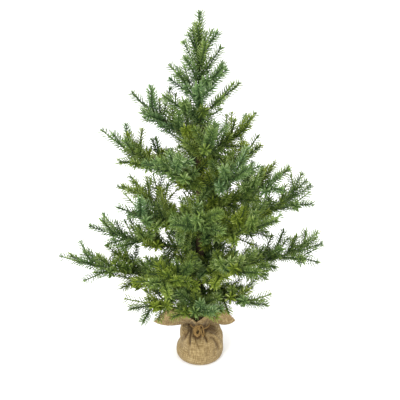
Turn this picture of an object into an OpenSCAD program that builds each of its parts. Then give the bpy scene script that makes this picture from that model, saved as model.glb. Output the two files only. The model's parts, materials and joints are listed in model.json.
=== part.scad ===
// Artificial tabletop tree: a weighted pot in a tied burlap cloth, a wrapped steel trunk,
// and wire branches with moulded needle shoots that bend at the trunk.
// Millimetres, +Z up. The origin is on the table, under the trunk. The front is toward -Y.

/* [Trunk] */
// Height of the top of the trunk tube above the table
trunk_top = 640; // [636:1:650]
// Outer diameter of the trunk tube
trunk_d = 16; // [14:0.5:17]
// Wall thickness of the trunk tube
trunk_wall = 1; // [0.8:0.1:1.5]
// Thickness of the bark wrap on the tube
wrap_t = 1.5; // [1:0.1:2]

/* [Base] */
// Outer diameter of the pot at its rim
pot_d = 96; // [90:1:98]
// Height of the pot
pot_h = 66; // [60:1:68]
// Wall thickness of the pot
pot_wall = 1.4; // [1:0.1:2.5]
// Outer diameter of the burlap bag
bag_d = 118; // [115:1:124]
// Thickness of the burlap
cloth_t = 1.8; // [1.2:0.1:2.5]
// Height of the tied neck of the bag
neck_z = 94; // [92:1:100]
// Radius of the gathered cloth at the neck
neck_r = 23; // [20:1:26]
// Diameter of the twine
twine_d = 3; // [2:0.5:4]

/* [Branches] */
// Length of every branch, as a share of its length in the list below
length_share = 1; // [0.85:0.01:1]
// Angle between the stem and the side shoots near its end
fork_angle = 38; // [32:1:42]
// Distance along the stem from one side shoot to the next
shoot_step = 15; // [14:1:20]
// Length of the side shoots near the end of a stem
shoot_length = 72; // [60:1:76]
// Radius of a shoot's core, which is what its needles grow on
shoot_r = 2.8; // [2:0.1:3]
// Diameter of a branch's steel wire
wire_d = 2.4; // [2:0.1:2.8]

/* [Leader] */
// Height of the tip of the leader above the table
tree_h = 900; // [880:1:905]
// Distance along the leader from one side shoot to the next
leader_step = 11; // [9:0.5:12]
// Length of the leader's lowest side shoots
leader_reach = 124; // [110:1:130]

/* [Hidden] */
// Each branch: azimuth from +X, height of its root, length of its stem, rise above level at
// the trunk, and how much more it bends upward along its way.
branches = [
    [266, 188, 175, 14, 12],
    [218, 196, 200, 3, 12],
    [322, 204, 190, 3, 12],
    [179, 220, 340, 6, 12],
    [94, 212, 290, 10, 12],
    [1, 252, 296, 9, 11],
    [243, 264, 245, 15, 12],
    [304, 282, 232, 15, 12],
    [58, 273, 285, 12, 12],
    [186, 312, 265, 12, 12],
    [12, 330, 294, 21, 10],
    [132, 321, 278, 14, 12],
    [322, 366, 228, 20, 12],
    [90, 378, 245, 20, 12],
    [210, 387, 222, 20, 12],
    [268, 396, 205, 24, 12],
    [352, 420, 228, 27, 10],
    [44, 448, 215, 24, 12],
    [176, 482, 256, 27, 12],
    [310, 492, 178, 27, 12],
    [236, 508, 172, 30, 12],
    [104, 520, 195, 28, 12],
    [16, 552, 158, 34, 12],
    [284, 576, 138, 38, 12],
    [182, 606, 180, 34, 10],
];

wrap_r = trunk_d / 2 + wrap_t;
bag_r = bag_d / 2;

// Clear space between parts that move, and between a winding and what it is wound on
gap = 0.3;
snug = 0.05;

// The pot stands on the cloth, the ballast on the pot's floor, the trunk in the ballast
pot_z = cloth_t;
pot_floor = 2;
bag_corner = 18;
pot_low_r = min(pot_d / 2 - 5, bag_r - cloth_t - bag_corner - gap);
pot_taper = pot_d / 2 - pot_low_r;
ballast_z = pot_z + pot_floor;
ballast_top = pot_z + pot_h - 8;
pole_z = ballast_z + 6;

// The root of a branch: an eye in the end of its wire, round a staple of binding wire
tie_r = 0.8;
pin_gap = 0.1;
eye_r = 2.5;
eye_w = 4;
hinge_r = wrap_r + gap + eye_r;
leg_y = eye_w / 2 + tie_r + gap;
tie_drop = 4.4;

// Where the sleeve starts and where the wire ends, as shares of the stem's length
bare_part = 0.14;
wire_part = 0.82;
wire_r = wire_d / 2;
sleeve_r = shoot_r;

// Where the moulding seam of a side shoot lies, in degrees round its core
seam_turn = 100;

// The shoot that ends a stem, and how far the sleeve reaches into it
tip_length = 58;
tip_joint = 5;

// Heights of the leader's pin, of the end of its wire and of its lowest side shoot
leader_pin_z = trunk_top - 14;
leader_wire_top = trunk_top + 132;
leader_root = 12;

function name_of(i) = str("branch_", i < 9 ? "0" : "", i + 1);

// The small differences between one shoot and the next, from -1 to 1
function vary(i, k, n) = sin(137.5 * (k + 1) * n + 71 * (i + 2));

function stem_length(i) = branches[i][2] * length_share;
function bend_radius(i) = stem_length(i) / (branches[i][4] * PI / 180);

// The point of stem i at distance s from its root, as [along, up, pitch]: the stem is an arc
function stem_point(i, s) =
    let (
        r = bend_radius(i),
        t = s / stem_length(i) * branches[i][4]
    )
    [r * sin(t), r - r * cos(t), t];

// Side shoots of stem i, by turns left and right, each as
// [distance from the root, turn to the side, pitch, length]
function side_shoots(i) =
    let (
        l = stem_length(i),
        last = floor((l - shoot_length - 40) / shoot_step)
    )
    [for (k = [0 : last])
        let (
            side = k % 2 == 0 ? 1 : -1,
            s = l - shoot_length + 6 - shoot_step * k,
            turn = fork_angle + min(12, 2 * k) + 4 * vary(i, k, 1),
            pitch = 12 + 24 * vary(i, k, 3),
            reach = min(shoot_length + 2 * k, 24 + 0.62 * s) * (1 + 0.12 * vary(i, k, 5))
        )
        [s, side * turn, pitch, reach]];

// Shoots on the upper side of stem i, in the same form
function upper_shoots(i) =
    let (
        l = stem_length(i),
        first = l - shoot_length + 6 - 1.5 * shoot_step
    )
    [for (k = [0 : floor((first - 36) / (3 * shoot_step))])
        [first - 3 * shoot_step * k, 14 * vary(i, k, 3), 42 + 5 * vary(i, k, 5), 52 + 6 * vary(i, k, 7)]];

// A shoot's core along +X: a slender spindle with a pointed end, its moulding seam at one side
module shoot(length) {
    rotate([0, 90, 0])
        rotate([0, 0, seam_turn])
            rotate_extrude($fn = 24)
                polygon([[0, 0], [0.7 * shoot_r, 0], [shoot_r, 0.2 * length],
                         [0.9 * shoot_r, 0.7 * length], [0.5 * shoot_r, 0.93 * length], [0, length]]);
}

// The end of a stem along +X: it grows out of the sleeve and swells a little
module tip_shoot(length) {
    rotate([0, 90, 0])
        rotate_extrude($fn = 24)
            polygon([[0, 0], [0.6 * sleeve_r, 0], [1.15 * sleeve_r, 0.3 * length],
                     [1.1 * sleeve_r, 0.6 * length], [0.6 * sleeve_r, 0.92 * length], [0, length]]);
}

// Puts its children at distance s along stem i, facing along the stem
module on_stem(i, s) {
    p = stem_point(i, s);
    translate([p[0], 0, p[1]])
        rotate([0, -p[2], 0])
            children();
}

// A round rod of radius r along stem i, from distance s0 to s1
module stem_rod(i, r, s0, s1) {
    t0 = s0 / stem_length(i) * branches[i][4];
    t1 = s1 / stem_length(i) * branches[i][4];
    translate([0, 0, bend_radius(i)])
        rotate([90, 90, 0])
            rotate([0, 0, t0])
                rotate_extrude(angle = t1 - t0, $fn = 120)
                    translate([bend_radius(i), 0])
                        circle(r = r, $fn = 24);
}

// Puts its children at the root of branch i, facing along its stem
module at_root(i) {
    rotate([0, 0, branches[i][0]])
        translate([hinge_r, 0, branches[i][1]])
            rotate([0, -branches[i][3], 0])
                children();
}

// Puts its children along +Y, centred
module across() {
    rotate([90, 0, 0])
        children();
}

module branch_wire(i) {
    color("darkolivegreen")
        at_root(i)
            difference() {
                union() {
                    across()
                        cylinder(h = eye_w, r = eye_r, center = true, $fn = 32);
                    stem_rod(i, wire_r, eye_r - 0.6, wire_part * stem_length(i));
                }
                across()
                    cylinder(h = eye_w + 1, r = tie_r + pin_gap, center = true, $fn = 32);
            }
}

module branch_shoots(i) {
    l = stem_length(i);
    tip_start = l - tip_length;
    color(i % 3 == 0 ? "olivedrab" : i % 3 == 1 ? "seagreen" : "forestgreen")
        at_root(i)
            union() {
                stem_rod(i, sleeve_r, bare_part * l, tip_start + tip_joint);
                on_stem(i, tip_start)
                    tip_shoot(tip_length);
                for (p = concat(side_shoots(i), upper_shoots(i)))
                    on_stem(i, p[0])
                        rotate([0, 0, p[1]])
                            rotate([0, -p[2], 0])
                                shoot(p[3]);
            }
}

// One turn of binding wire round the trunk, with a staple that stands off to hold the eye
module tie(i) {
    ring_r = wrap_r + tie_r + snug;
    lean = hinge_r - sqrt(ring_r * ring_r - leg_y * leg_y);
    rotate([0, 0, branches[i][0]])
        translate([0, 0, branches[i][1]]) {
            translate([0, 0, -tie_drop])
                rotate_extrude($fn = 48)
                    translate([ring_r, 0])
                        circle(r = tie_r, $fn = 16);
            translate([hinge_r, 0, 0])
                across()
                    cylinder(h = 2 * (leg_y + tie_r), r = tie_r, center = true, $fn = 24);
            for (side = [-1, 1])
                translate([hinge_r, side * leg_y, 0])
                    rotate([0, 180 + atan2(lean, tie_drop), 0])
                        cylinder(h = norm([lean, tie_drop]), r = 0.9 * tie_r, $fn = 16);
        }
}

module branch_ties() {
    color("dimgray")
        for (i = [0 : len(branches) - 1])
            tie(i);
}

module trunk_pole() {
    color("silver")
        difference() {
            translate([0, 0, pole_z])
                cylinder(h = trunk_top - pole_z, d = trunk_d, $fn = 48);
            translate([0, 0, pole_z - 1])
                cylinder(h = trunk_top, r = trunk_d / 2 - trunk_wall, $fn = 48);
            translate([0, 0, leader_pin_z])
                across()
                    cylinder(h = trunk_d + 2, r = tie_r, center = true, $fn = 24);
        }
}

module trunk_wrap() {
    color("saddlebrown")
        difference() {
            translate([0, 0, ballast_top])
                cylinder(h = trunk_top - ballast_top, r = wrap_r, $fn = 48);
            translate([0, 0, ballast_top - 1])
                cylinder(h = trunk_top, d = trunk_d, $fn = 48);
            translate([0, 0, leader_pin_z])
                across()
                    cylinder(h = 3 * trunk_d, r = tie_r, center = true, $fn = 24);
        }
}

module leader_pin() {
    color("dimgray")
        translate([0, 0, leader_pin_z])
            across()
                cylinder(h = 2 * wrap_r, r = tie_r, center = true, $fn = 24);
}

// Shoots round the leader, each as [height above the trunk's top, azimuth, rise, length]
function leader_side_shoots() =
    let (last = floor((tree_h - tip_length - trunk_top - leader_root - 8) / leader_step))
    [for (k = [0 : last])
        [leader_root + leader_step * k, 215 + 137.5 * k, 40 + 1.8 * k, leader_reach - 4.4 * k]];

module leader_wire() {
    color("darkolivegreen")
        translate([0, 0, leader_pin_z])
            difference() {
                union() {
                    across()
                        cylinder(h = eye_w, r = eye_r, center = true, $fn = 32);
                    translate([0, 0, eye_r - 0.6])
                        cylinder(h = leader_wire_top - leader_pin_z - eye_r, r = wire_r, $fn = 24);
                }
                across()
                    cylinder(h = eye_w + 1, r = tie_r + pin_gap, center = true, $fn = 32);
            }
}

module leader_shoots() {
    color("mediumseagreen")
        union() {
            translate([0, 0, trunk_top + 4])
                cylinder(h = tree_h - tip_length + tip_joint - trunk_top - 4, r = sleeve_r, $fn = 24);
            translate([0, 0, tree_h - tip_length])
                rotate([0, -90, 0])
                    tip_shoot(tip_length);
            for (p = leader_side_shoots())
                translate([0, 0, trunk_top + p[0]])
                    rotate([0, 0, p[1]])
                        rotate([0, -p[2], 0])
                            shoot(p[3]);
        }
}

// The pot's inner radius at height z above its floor
function pot_inner_r(z) = pot_low_r - pot_wall + pot_taper * z / pot_h;

module base_pot() {
    color("dimgray")
        translate([0, 0, pot_z])
            difference() {
                cylinder(h = pot_h, r1 = pot_low_r, r2 = pot_d / 2, $fn = 96);
                translate([0, 0, pot_floor])
                    cylinder(h = pot_h, r1 = pot_inner_r(0), r2 = pot_inner_r(pot_h), $fn = 96);
            }
}

// The inside of the pot, as far up as the ballast fills it, with a socket for the trunk
module ballast_block() {
    depth = ballast_top - ballast_z;
    color("lightgray")
        difference() {
            translate([0, 0, ballast_z])
                cylinder(h = depth, r1 = pot_inner_r(0), r2 = pot_inner_r(depth), $fn = 96);
            translate([0, 0, pole_z])
                cylinder(h = depth, d = trunk_d, $fn = 48);
        }
}

// Outline of the bag at radius r, from the table to the shoulder, with round corners
module bag_outline(r, low, top) {
    corner = bag_corner;
    shoulder = 34;
    translate([0, low])
        square([r - corner, corner]);
    translate([0, low + corner])
        square([r, top - shoulder - low - corner]);
    translate([r - corner, low + corner])
        intersection() {
            circle(r = corner, $fn = 64);
            translate([0, -corner])
                square(corner);
        }
    translate([0, top - shoulder])
        square([r - shoulder, shoulder]);
    translate([r - shoulder, top - shoulder])
        intersection() {
            circle(r = shoulder, $fn = 64);
            square(shoulder);
        }
}

// One ear of the cloth, from the neck out to its free corner and its upper edge
module ear(corner, crest) {
    hull() {
        translate([sign(corner[0]) * (neck_r - 9), -4, neck_z + 12])
            sphere(r = 5, $fn = 24);
        translate(corner)
            sphere(r = cloth_t, $fn = 16);
        translate(crest)
            sphere(r = cloth_t, $fn = 16);
    }
}

module burlap_wrap() {
    bag_top = neck_z - 6;
    color("tan")
        difference() {
            union() {
                rotate_extrude($fn = 96)
                    bag_outline(bag_r, 0, bag_top);
                translate([0, 0, bag_top - 4])
                    cylinder(h = 13, r = neck_r, $fn = 64);
                translate([0, 0, neck_z + 3])
                    cylinder(h = 16, r1 = neck_r - 1, r2 = neck_r + 8, $fn = 64);
                ear([-112, -8, 100], [-98, 0, 131]);
                ear([90, -8, 99], [56, 4, 140]);
            }
            rotate_extrude($fn = 96)
                bag_outline(bag_r - cloth_t, cloth_t, bag_top - cloth_t);
            translate([0, 0, neck_z + 6])
                cylinder(h = 50, r1 = wrap_r + gap, r2 = neck_r + 40, $fn = 64);
            translate([0, 0, bag_top - cloth_t - 1])
                cylinder(h = 60, r = wrap_r + gap, $fn = 64);
        }
}

// Two turns of twine round the neck, and a knot of two loops and two tails at the front
module twine_tie() {
    r = twine_d / 2;
    turn_r = neck_r + r + snug;
    knot_r = 3 * r;
    knot = [0, -neck_r - knot_r - snug, neck_z];
    color("peru")
        union() {
            for (turn = [-1, 1])
                translate([0, 0, neck_z + turn * (r + snug)])
                    rotate_extrude($fn = 64)
                        translate([turn_r, 0])
                            circle(r = r, $fn = 20);
            translate(knot)
                sphere(r = knot_r, $fn = 32);
            for (side = [-1, 1]) {
                translate(knot + [side * 4.5 * r, -1.4 * r, 2 * r])
                    rotate([75, 0, side * 20])
                        rotate_extrude($fn = 40)
                            translate([3 * r, 0])
                                circle(r = r, $fn = 20);
                translate(knot)
                    rotate([40, side * 112, 0])
                        cylinder(h = 8 * r, r = r, $fn = 20);
            }
        }
}

ballast_block();
base_pot();
trunk_pole();
trunk_wrap();
burlap_wrap();
twine_tie();
branch_ties();
leader_pin();
leader_wire();
leader_shoots();
for (i = [0 : len(branches) - 1]) {
    branch_wire(i);
    branch_shoots(i);
}
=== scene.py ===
"""Artificial tabletop tree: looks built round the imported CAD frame.

Metres, +Z up, the front toward -Y. The CAD gives every place and joint: the stems are read from
the branches' wires, and the side shoots follow the design's own rule, which is repeated here.
"""

import json
import math

import bpy
import numpy as np
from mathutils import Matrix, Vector


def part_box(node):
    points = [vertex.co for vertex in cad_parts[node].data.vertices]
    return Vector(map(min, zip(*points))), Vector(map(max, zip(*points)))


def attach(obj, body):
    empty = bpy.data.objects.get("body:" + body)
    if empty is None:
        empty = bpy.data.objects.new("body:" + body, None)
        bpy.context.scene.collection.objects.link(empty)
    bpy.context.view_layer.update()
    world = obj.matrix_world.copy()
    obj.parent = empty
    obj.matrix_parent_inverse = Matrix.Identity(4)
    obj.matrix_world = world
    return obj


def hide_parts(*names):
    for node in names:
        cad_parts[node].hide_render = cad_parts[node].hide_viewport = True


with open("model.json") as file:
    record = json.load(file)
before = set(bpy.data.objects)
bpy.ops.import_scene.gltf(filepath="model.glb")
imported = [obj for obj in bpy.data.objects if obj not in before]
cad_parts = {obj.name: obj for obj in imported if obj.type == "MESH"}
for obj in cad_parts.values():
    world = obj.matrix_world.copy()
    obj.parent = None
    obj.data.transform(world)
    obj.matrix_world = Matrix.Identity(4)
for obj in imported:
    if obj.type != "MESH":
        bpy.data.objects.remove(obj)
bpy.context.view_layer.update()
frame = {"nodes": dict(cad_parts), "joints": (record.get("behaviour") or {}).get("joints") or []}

MM = 0.001
GOLDEN = 137.5
UP = np.array([0.0, 0.0, 1.0])

# The design's rule for the side shoots, as in the CAD source
SHOOT_LENGTH = 72 * MM
SHOOT_STEP = 15 * MM
FORK_DEGREES = 38
TIP_LENGTH = 58 * MM
WIRE_PART = 0.82
LEADER_ROOT = 12 * MM
LEADER_STEP = 11 * MM
LEADER_REACH = 124 * MM


# -------------------- meshes

def mesh_object(name, verts, quads, tris, materials, attributes=None, indices=None):
    """A mesh object from arrays of vertices, quads and triangles, with float attributes on its points."""
    quads = np.asarray(quads, np.int32).reshape(-1, 4)
    tris = np.asarray(tris, np.int32).reshape(-1, 3)
    me = bpy.data.meshes.new(name)
    me.vertices.add(len(verts))
    me.vertices.foreach_set("co", np.asarray(verts, np.float32).ravel())
    me.loops.add(quads.size + tris.size)
    me.loops.foreach_set("vertex_index", np.concatenate([quads.ravel(), tris.ravel()]))
    me.polygons.add(len(quads) + len(tris))
    starts = np.concatenate([np.arange(len(quads)) * 4, quads.size + np.arange(len(tris)) * 3])
    me.polygons.foreach_set("loop_start", starts.astype(np.int32))
    for material in materials:
        me.materials.append(material)
    if indices is not None:
        me.polygons.foreach_set("material_index", np.asarray(indices, np.int32))
    me.polygons.foreach_set("use_smooth", np.ones(len(quads) + len(tris), bool))
    me.update(calc_edges=True)
    for key, values in (attributes or {}).items():
        layer = me.attributes.new(key, "FLOAT", "POINT")
        layer.data.foreach_set("value", np.asarray(values, np.float32))
    me.validate()
    obj = bpy.data.objects.new(name, me)
    bpy.context.scene.collection.objects.link(obj)
    return obj


def unit(v):
    return v / np.maximum(np.linalg.norm(v, axis=-1, keepdims=True), 1e-12)


def side_frames(points):
    """Tangents and two crosswise directions along a line, turning as little as they can."""
    t = unit(np.gradient(points, axis=0))
    start = UP if abs(t[0][2]) < 0.9 else np.array([1.0, 0.0, 0.0])
    u = np.empty_like(t)
    u[0] = unit(start - start @ t[0] * t[0])
    for i in range(1, len(t)):
        u[i] = unit(u[i - 1] - u[i - 1] @ t[i] * t[i])
    return t, u, np.cross(t, u)


def tube(points, radii, sides):
    """Vertices, quads and triangles of a tube round a line, closed at both ends."""
    points = np.asarray(points, float)
    radii = np.asarray(radii, float)
    _, u, v = side_frames(points)
    turn = np.linspace(0, 2 * math.pi, sides, endpoint=False)
    ring = u[:, None] * np.cos(turn)[None, :, None] + v[:, None] * np.sin(turn)[None, :, None]
    verts = (points[:, None] + ring * radii[:, None, None]).reshape(-1, 3)
    n = len(points)
    a = (np.arange(n - 1)[:, None] * sides + np.arange(sides)[None]).ravel()
    b = (np.arange(n - 1)[:, None] * sides + (np.arange(sides)[None] + 1) % sides).ravel()
    quads = np.stack([a, b, b + sides, a + sides], 1)
    k = np.arange(sides)
    after = (k + 1) % sides
    base = (n - 1) * sides
    start_cap = np.stack([after, k, np.full(sides, len(verts))], 1)
    end_cap = np.stack([base + k, base + after, np.full(sides, len(verts) + 1)], 1)
    verts = np.vstack([verts, points[0], points[-1]])
    return verts, quads, np.vstack([start_cap, end_cap])


class Builder:
    """Collects vertices, faces and attributes from many small pieces into one mesh."""

    def __init__(self):
        self.verts, self.quads, self.tris = [], [], []
        self.quad_index, self.tri_index = [], []
        self.attributes = {}
        self.count = 0

    def add(self, verts, quads, tris, index=0, **attributes):
        self.verts.append(verts)
        self.quads.append(np.asarray(quads).reshape(-1, 4) + self.count)
        self.tris.append(np.asarray(tris).reshape(-1, 3) + self.count)
        self.quad_index.append(np.full(len(self.quads[-1]), index))
        self.tri_index.append(np.full(len(self.tris[-1]), index))
        for key, values in attributes.items():
            full = np.broadcast_to(np.asarray(values, float), (len(verts),))
            self.attributes.setdefault(key, []).append(full)
        self.count += len(verts)

    def make(self, name, materials):
        attributes = {k: np.concatenate(v) for k, v in self.attributes.items()}
        indices = np.concatenate(self.quad_index + self.tri_index)
        return mesh_object(name, np.vstack(self.verts), np.vstack(self.quads), np.vstack(self.tris),
                           materials, attributes, indices)


def smooth_line(points, n):
    """n points evenly along a smooth curve through the given points."""
    p = np.asarray(points, float)
    p = np.vstack([2 * p[0] - p[1], p, 2 * p[-1] - p[-2]])
    out = []
    for i in range(1, len(p) - 2):
        t = np.linspace(0, 1, 24, endpoint=False)[:, None]
        a, b, c, d = p[i - 1], p[i], p[i + 1], p[i + 2]
        out.append(0.5 * (2 * b + (c - a) * t + (2 * a - 5 * b + 4 * c - d) * t ** 2
                          + (3 * b - a - 3 * c + d) * t ** 3))
    line = np.vstack(out + [p[-2:-1]])
    run = np.concatenate([[0], np.cumsum(np.linalg.norm(np.diff(line, axis=0), axis=1))])
    at = np.linspace(0, run[-1], n)
    return np.stack([np.interp(at, run, line[:, k]) for k in range(3)], 1)


# -------------------- materials

def node(tree, kind, inputs=None, **props):
    n = tree.nodes.new("ShaderNode" + kind)
    for key, value in props.items():
        setattr(n, key, value)
    for key, value in (inputs or {}).items():
        if isinstance(value, bpy.types.NodeSocket):
            tree.links.new(value, n.inputs[key])
        else:
            n.inputs[key].default_value = value
    return n


def maths(tree, operation, a, b=0.0):
    return node(tree, "Math", {0: a, 1: b}, operation=operation).outputs[0]


def scaled(tree, value, factor, offset, clamp=False):
    """value * factor + offset."""
    inputs = {0: value, 1: factor, 2: offset}
    return node(tree, "Math", inputs, operation="MULTIPLY_ADD", use_clamp=clamp).outputs[0]


def mix(tree, share, a, b):
    return node(tree, "Mix", {0: share, 6: a, 7: b}, data_type="RGBA").outputs[2]


def ramp(tree, share, stops):
    n = node(tree, "ValToRGB", {0: share})
    while len(n.color_ramp.elements) < len(stops):
        n.color_ramp.elements.new(0.5)
    for element, (place, colour) in zip(n.color_ramp.elements, stops):
        element.position = place
        element.color = (*colour, 1)
    return n.outputs[0]


def noise(tree, scale, detail=3.0, vector=None, rough=0.5):
    vector = vector or node(tree, "TexCoord").outputs["Object"]
    inputs = {"Vector": vector, "Scale": scale, "Detail": detail, "Roughness": rough}
    return node(tree, "TexNoise", inputs).outputs["Fac"]


def stretched(tree, scale, place=None):
    """Coordinates, the object's own unless given, scaled by a different amount along each axis."""
    place = place or node(tree, "TexCoord").outputs["Object"]
    return node(tree, "Mapping", {"Vector": place, "Scale": scale}).outputs[0]


def attribute(tree, name):
    return node(tree, "Attribute", attribute_name=name).outputs["Fac"]


def shader(name, **fixed):
    """A new material, its node tree and its Principled shader, with fixed values on the shader's sockets."""
    material = bpy.data.materials.new(name)
    material.use_nodes = True
    tree = material.node_tree
    principled = tree.nodes["Principled BSDF"]
    for key, value in fixed.items():
        principled.inputs[key.replace("_", " ")].default_value = value
    return material, tree, principled


def paint(tree, principled, colour):
    tree.links.new(colour, principled.inputs["Base Color"])


def raise_surface(tree, principled, height, distance, strength):
    bump = node(tree, "Bump", {"Height": height, "Distance": distance, "Strength": strength})
    tree.links.new(bump.outputs[0], principled.inputs["Normal"])


def needle_material():
    """Moulded needles: blue-green to olive from shoot to shoot, lighter toward each needle's point, partly as
    painted highlight, and darker as painted shade under each shoot.
    """
    material, tree, p = shader("needles", Roughness=0.55, Specular_IOR_Level=0.12)
    tone, warm = attribute(tree, "tone"), attribute(tree, "warm")
    cool_green = ramp(tree, tone, [
        (0.0, (0.005, 0.020, 0.006)), (0.3, (0.037, 0.091, 0.031)), (0.6, (0.124, 0.223, 0.088)),
        (0.85, (0.298, 0.412, 0.226)), (1.0, (0.530, 0.625, 0.448))])
    olive_green = ramp(tree, tone, [
        (0.0, (0.010, 0.021, 0.001)), (0.3, (0.064, 0.102, 0.007)), (0.6, (0.190, 0.250, 0.024)),
        (0.85, (0.355, 0.420, 0.090)), (1.0, (0.520, 0.570, 0.240))])
    both = mix(tree, warm, cool_green, olive_green)
    patch = maths(tree, "MULTIPLY", noise(tree, 160.0, 2.0), 0.22)
    paint(tree, p, mix(tree, patch, both, (0.012, 0.030, 0.006, 1)))
    return material


def twig_material():
    """The moulded stems of the shoots: green, browner toward the trunk."""
    material, tree, p = shader("stems", Roughness=0.6, Specular_IOR_Level=0.35)
    grain = noise(tree, 420.0, 3.0)
    green = ramp(tree, grain, [(0.3, (0.010, 0.026, 0.006)), (0.7, (0.036, 0.066, 0.014))])
    brown = ramp(tree, grain, [(0.3, (0.028, 0.018, 0.008)), (0.7, (0.090, 0.058, 0.026))])
    paint(tree, p, mix(tree, attribute(tree, "warm"), green, brown))
    raise_surface(tree, p, grain, 0.0004, 0.6)
    return material


def wire_material():
    """Steel wire in a green film, scuffed through here and there."""
    material, tree, p = shader("green_film_wire", Roughness=0.5, Specular_IOR_Level=0.5)
    scuff = maths(tree, "GREATER_THAN", noise(tree, 900.0, 4.0), 0.66)
    film = ramp(tree, noise(tree, 150.0, 3.0), [(0.3, (0.030, 0.045, 0.014)), (0.7, (0.075, 0.090, 0.028))])
    paint(tree, p, mix(tree, scuff, film, (0.16, 0.13, 0.09, 1)))
    return material


TAPE_PITCH = 11 * MM


def bark_material():
    """The trunk's wrap: brown paper-like tape wound on in low ridges."""
    material, tree, p = shader("bark_wrap", Roughness=0.82, Specular_IOR_Level=0.25)
    fibres = noise(tree, 1.0, 5.0, stretched(tree, (260.0, 260.0, 60.0)), 0.6)
    place = node(tree, "TexCoord").outputs["Object"]
    split = node(tree, "SeparateXYZ", {0: place}).outputs
    turn = maths(tree, "ARCTAN2", split[1], split[0])
    wound = maths(tree, "ADD", maths(tree, "MULTIPLY", split[2], 1 / TAPE_PITCH),
                  maths(tree, "DIVIDE", turn, 2 * math.pi))
    ridge = maths(tree, "POWER", maths(tree, "FRACT", wound), 3.0)
    colour = ramp(tree, fibres, [
        (0.25, (0.020, 0.014, 0.006)), (0.55, (0.058, 0.040, 0.018)), (0.8, (0.130, 0.092, 0.045))])
    paint(tree, p, mix(tree, maths(tree, "MULTIPLY", ridge, 0.5), colour, (0.020, 0.012, 0.006, 1)))
    raise_surface(tree, p, maths(tree, "ADD", fibres, maths(tree, "MULTIPLY", ridge, -0.8)), 0.0009, 0.8)
    return material


def steel_material(name, dark, light, rough):
    material, tree, p = shader(name, Metallic=1.0, Roughness=rough)
    grain = noise(tree, 1.0, 3.0, stretched(tree, (900.0, 900.0, 60.0)))
    paint(tree, p, ramp(tree, grain, [(0.3, dark), (0.7, light)]))
    raise_surface(tree, p, grain, 0.0001, 0.4)
    return material


def cement_material():
    material, tree, p = shader("cement", Roughness=0.92, Specular_IOR_Level=0.3)
    coarse, fine = noise(tree, 60.0, 6.0, rough=0.65), noise(tree, 600.0, 3.0)
    paint(tree, p, ramp(tree, coarse, [(0.3, (0.23, 0.225, 0.21)), (0.7, (0.42, 0.41, 0.385))]))
    raise_surface(tree, p, maths(tree, "ADD", coarse, maths(tree, "MULTIPLY", fine, 0.4)), 0.0012, 0.8)
    return material


def pot_material():
    material, tree, p = shader("pot_plastic", Roughness=0.5, Specular_IOR_Level=0.45)
    fine = noise(tree, 700.0, 2.0)
    paint(tree, p, ramp(tree, fine, [(0.3, (0.008, 0.008, 0.008)), (0.7, (0.02, 0.02, 0.02))]))
    raise_surface(tree, p, fine, 0.0002, 0.5)
    return material


def thread_height(tree, across, along, shift):
    """Height of one set of threads in a plain weave: round threads that go over and under the others."""
    rounded = maths(tree, "ABSOLUTE", maths(tree, "SINE", maths(tree, "MULTIPLY", across, math.pi)))
    row = maths(tree, "FLOOR", across)
    phase = maths(tree, "MULTIPLY", maths(tree, "ADD", maths(tree, "ADD", along, row), shift), math.pi)
    return maths(tree, "MULTIPLY", rounded, scaled(tree, maths(tree, "SINE", phase), 0.32, 0.62))


THREAD_PITCH = 1.9 * MM


def burlap_material():
    """Coarse jute cloth in plain weave, its threads of uneven thickness and colour, with painted shade
    between the threads and in the folds.
    """
    material, tree, p = shader("burlap", Roughness=0.95, Specular_IOR_Level=0.12,
                               Sheen_Weight=0.08, Sheen_Roughness=0.6)
    cloth = node(tree, "UVMap", uv_map="cloth").outputs[0]
    split = node(tree, "SeparateXYZ", {0: cloth}).outputs
    wobble = scaled(tree, noise(tree, 70.0, 2.0, cloth), 1.1, -0.55)
    u = maths(tree, "ADD", maths(tree, "MULTIPLY", split[0], 1 / THREAD_PITCH), wobble)
    v = maths(tree, "ADD", maths(tree, "MULTIPLY", split[1], 1 / THREAD_PITCH), wobble)
    warp = thread_height(tree, u, v, 0.5)
    weft = thread_height(tree, v, u, 1.5)
    height = maths(tree, "MAXIMUM", warp, weft)
    slub_u = noise(tree, 1.0, 3.0, stretched(tree, (520.0, 45.0, 1.0), cloth), 0.6)
    slub_v = noise(tree, 1.0, 3.0, stretched(tree, (45.0, 520.0, 1.0), cloth), 0.6)
    slub = maths(tree, "MULTIPLY", maths(tree, "ADD", slub_u, slub_v), 0.5)
    thread = ramp(tree, slub, [
        (0.36, (0.112, 0.066, 0.021)), (0.5, (0.298, 0.212, 0.089)), (0.64, (0.590, 0.475, 0.243))])
    # Painted shade in the gaps and hollows between the threads
    gap_shade = scaled(tree, height, -1.5, 1.05, clamp=True)
    woven = mix(tree, maths(tree, "MULTIPLY", gap_shade, 0.85), thread, (0.085, 0.048, 0.018, 1))
    # Painted shade from the mesh, which darkens the cloth in folds, creases, the collar and round the knot
    fold_shade = attribute(tree, "fold_shade")
    paint(tree, p, mix(tree, maths(tree, "MULTIPLY", fold_shade, 0.88), woven, (0.060, 0.029, 0.007, 1)))
    raise_surface(tree, p, maths(tree, "ADD", height, maths(tree, "MULTIPLY", slub, 0.5)), 0.0007, 0.9)
    return material


def jute_material(name, dark, light):
    material, tree, p = shader(name, Roughness=0.9, Specular_IOR_Level=0.10,
                               Sheen_Weight=0.05, Sheen_Roughness=0.6)
    fibres = noise(tree, 1.0, 4.0, stretched(tree, (700.0, 700.0, 500.0)), 0.65)
    paint(tree, p, ramp(tree, fibres, [(0.3, dark), (0.7, light)]))
    raise_surface(tree, p, fibres, 0.0003, 0.8)
    return material


NEEDLES = needle_material()
TWIGS = twig_material()
BURLAP = burlap_material()
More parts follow.
